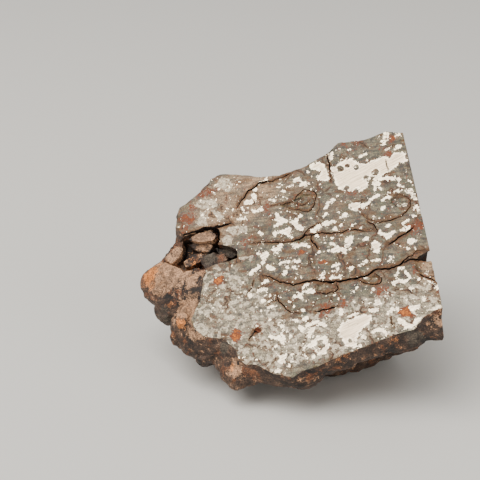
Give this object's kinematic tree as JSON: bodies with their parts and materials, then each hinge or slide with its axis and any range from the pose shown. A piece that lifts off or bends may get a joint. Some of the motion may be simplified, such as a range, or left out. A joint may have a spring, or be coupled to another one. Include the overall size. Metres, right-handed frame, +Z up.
{
  "type": "mesosiderite meteorite",
  "caption": "Rough chunk of stony-iron meteorite with one large polished cut face, a flat sawn side, rusty knobbly crust and a small flat spot it rests on.",
  "frame": {"origin": "on the ground plane, under the middle of the stone's box", "axes": "+X runs along the stone's longest extent, to the right seen from the polished face's side; -Y is the side the polished face looks to; +Z is up as the stone rests"},
  "size_m": [0.06, 0.0498, 0.0482],
  "materials": {
    "stone": "polished grey matrix with bright metal grains on the cut faces; dark rusty crust elsewhere"
  },
  "bodies": {
    "root": {"meteorite": "stone"}
  },
  "joints": []
}
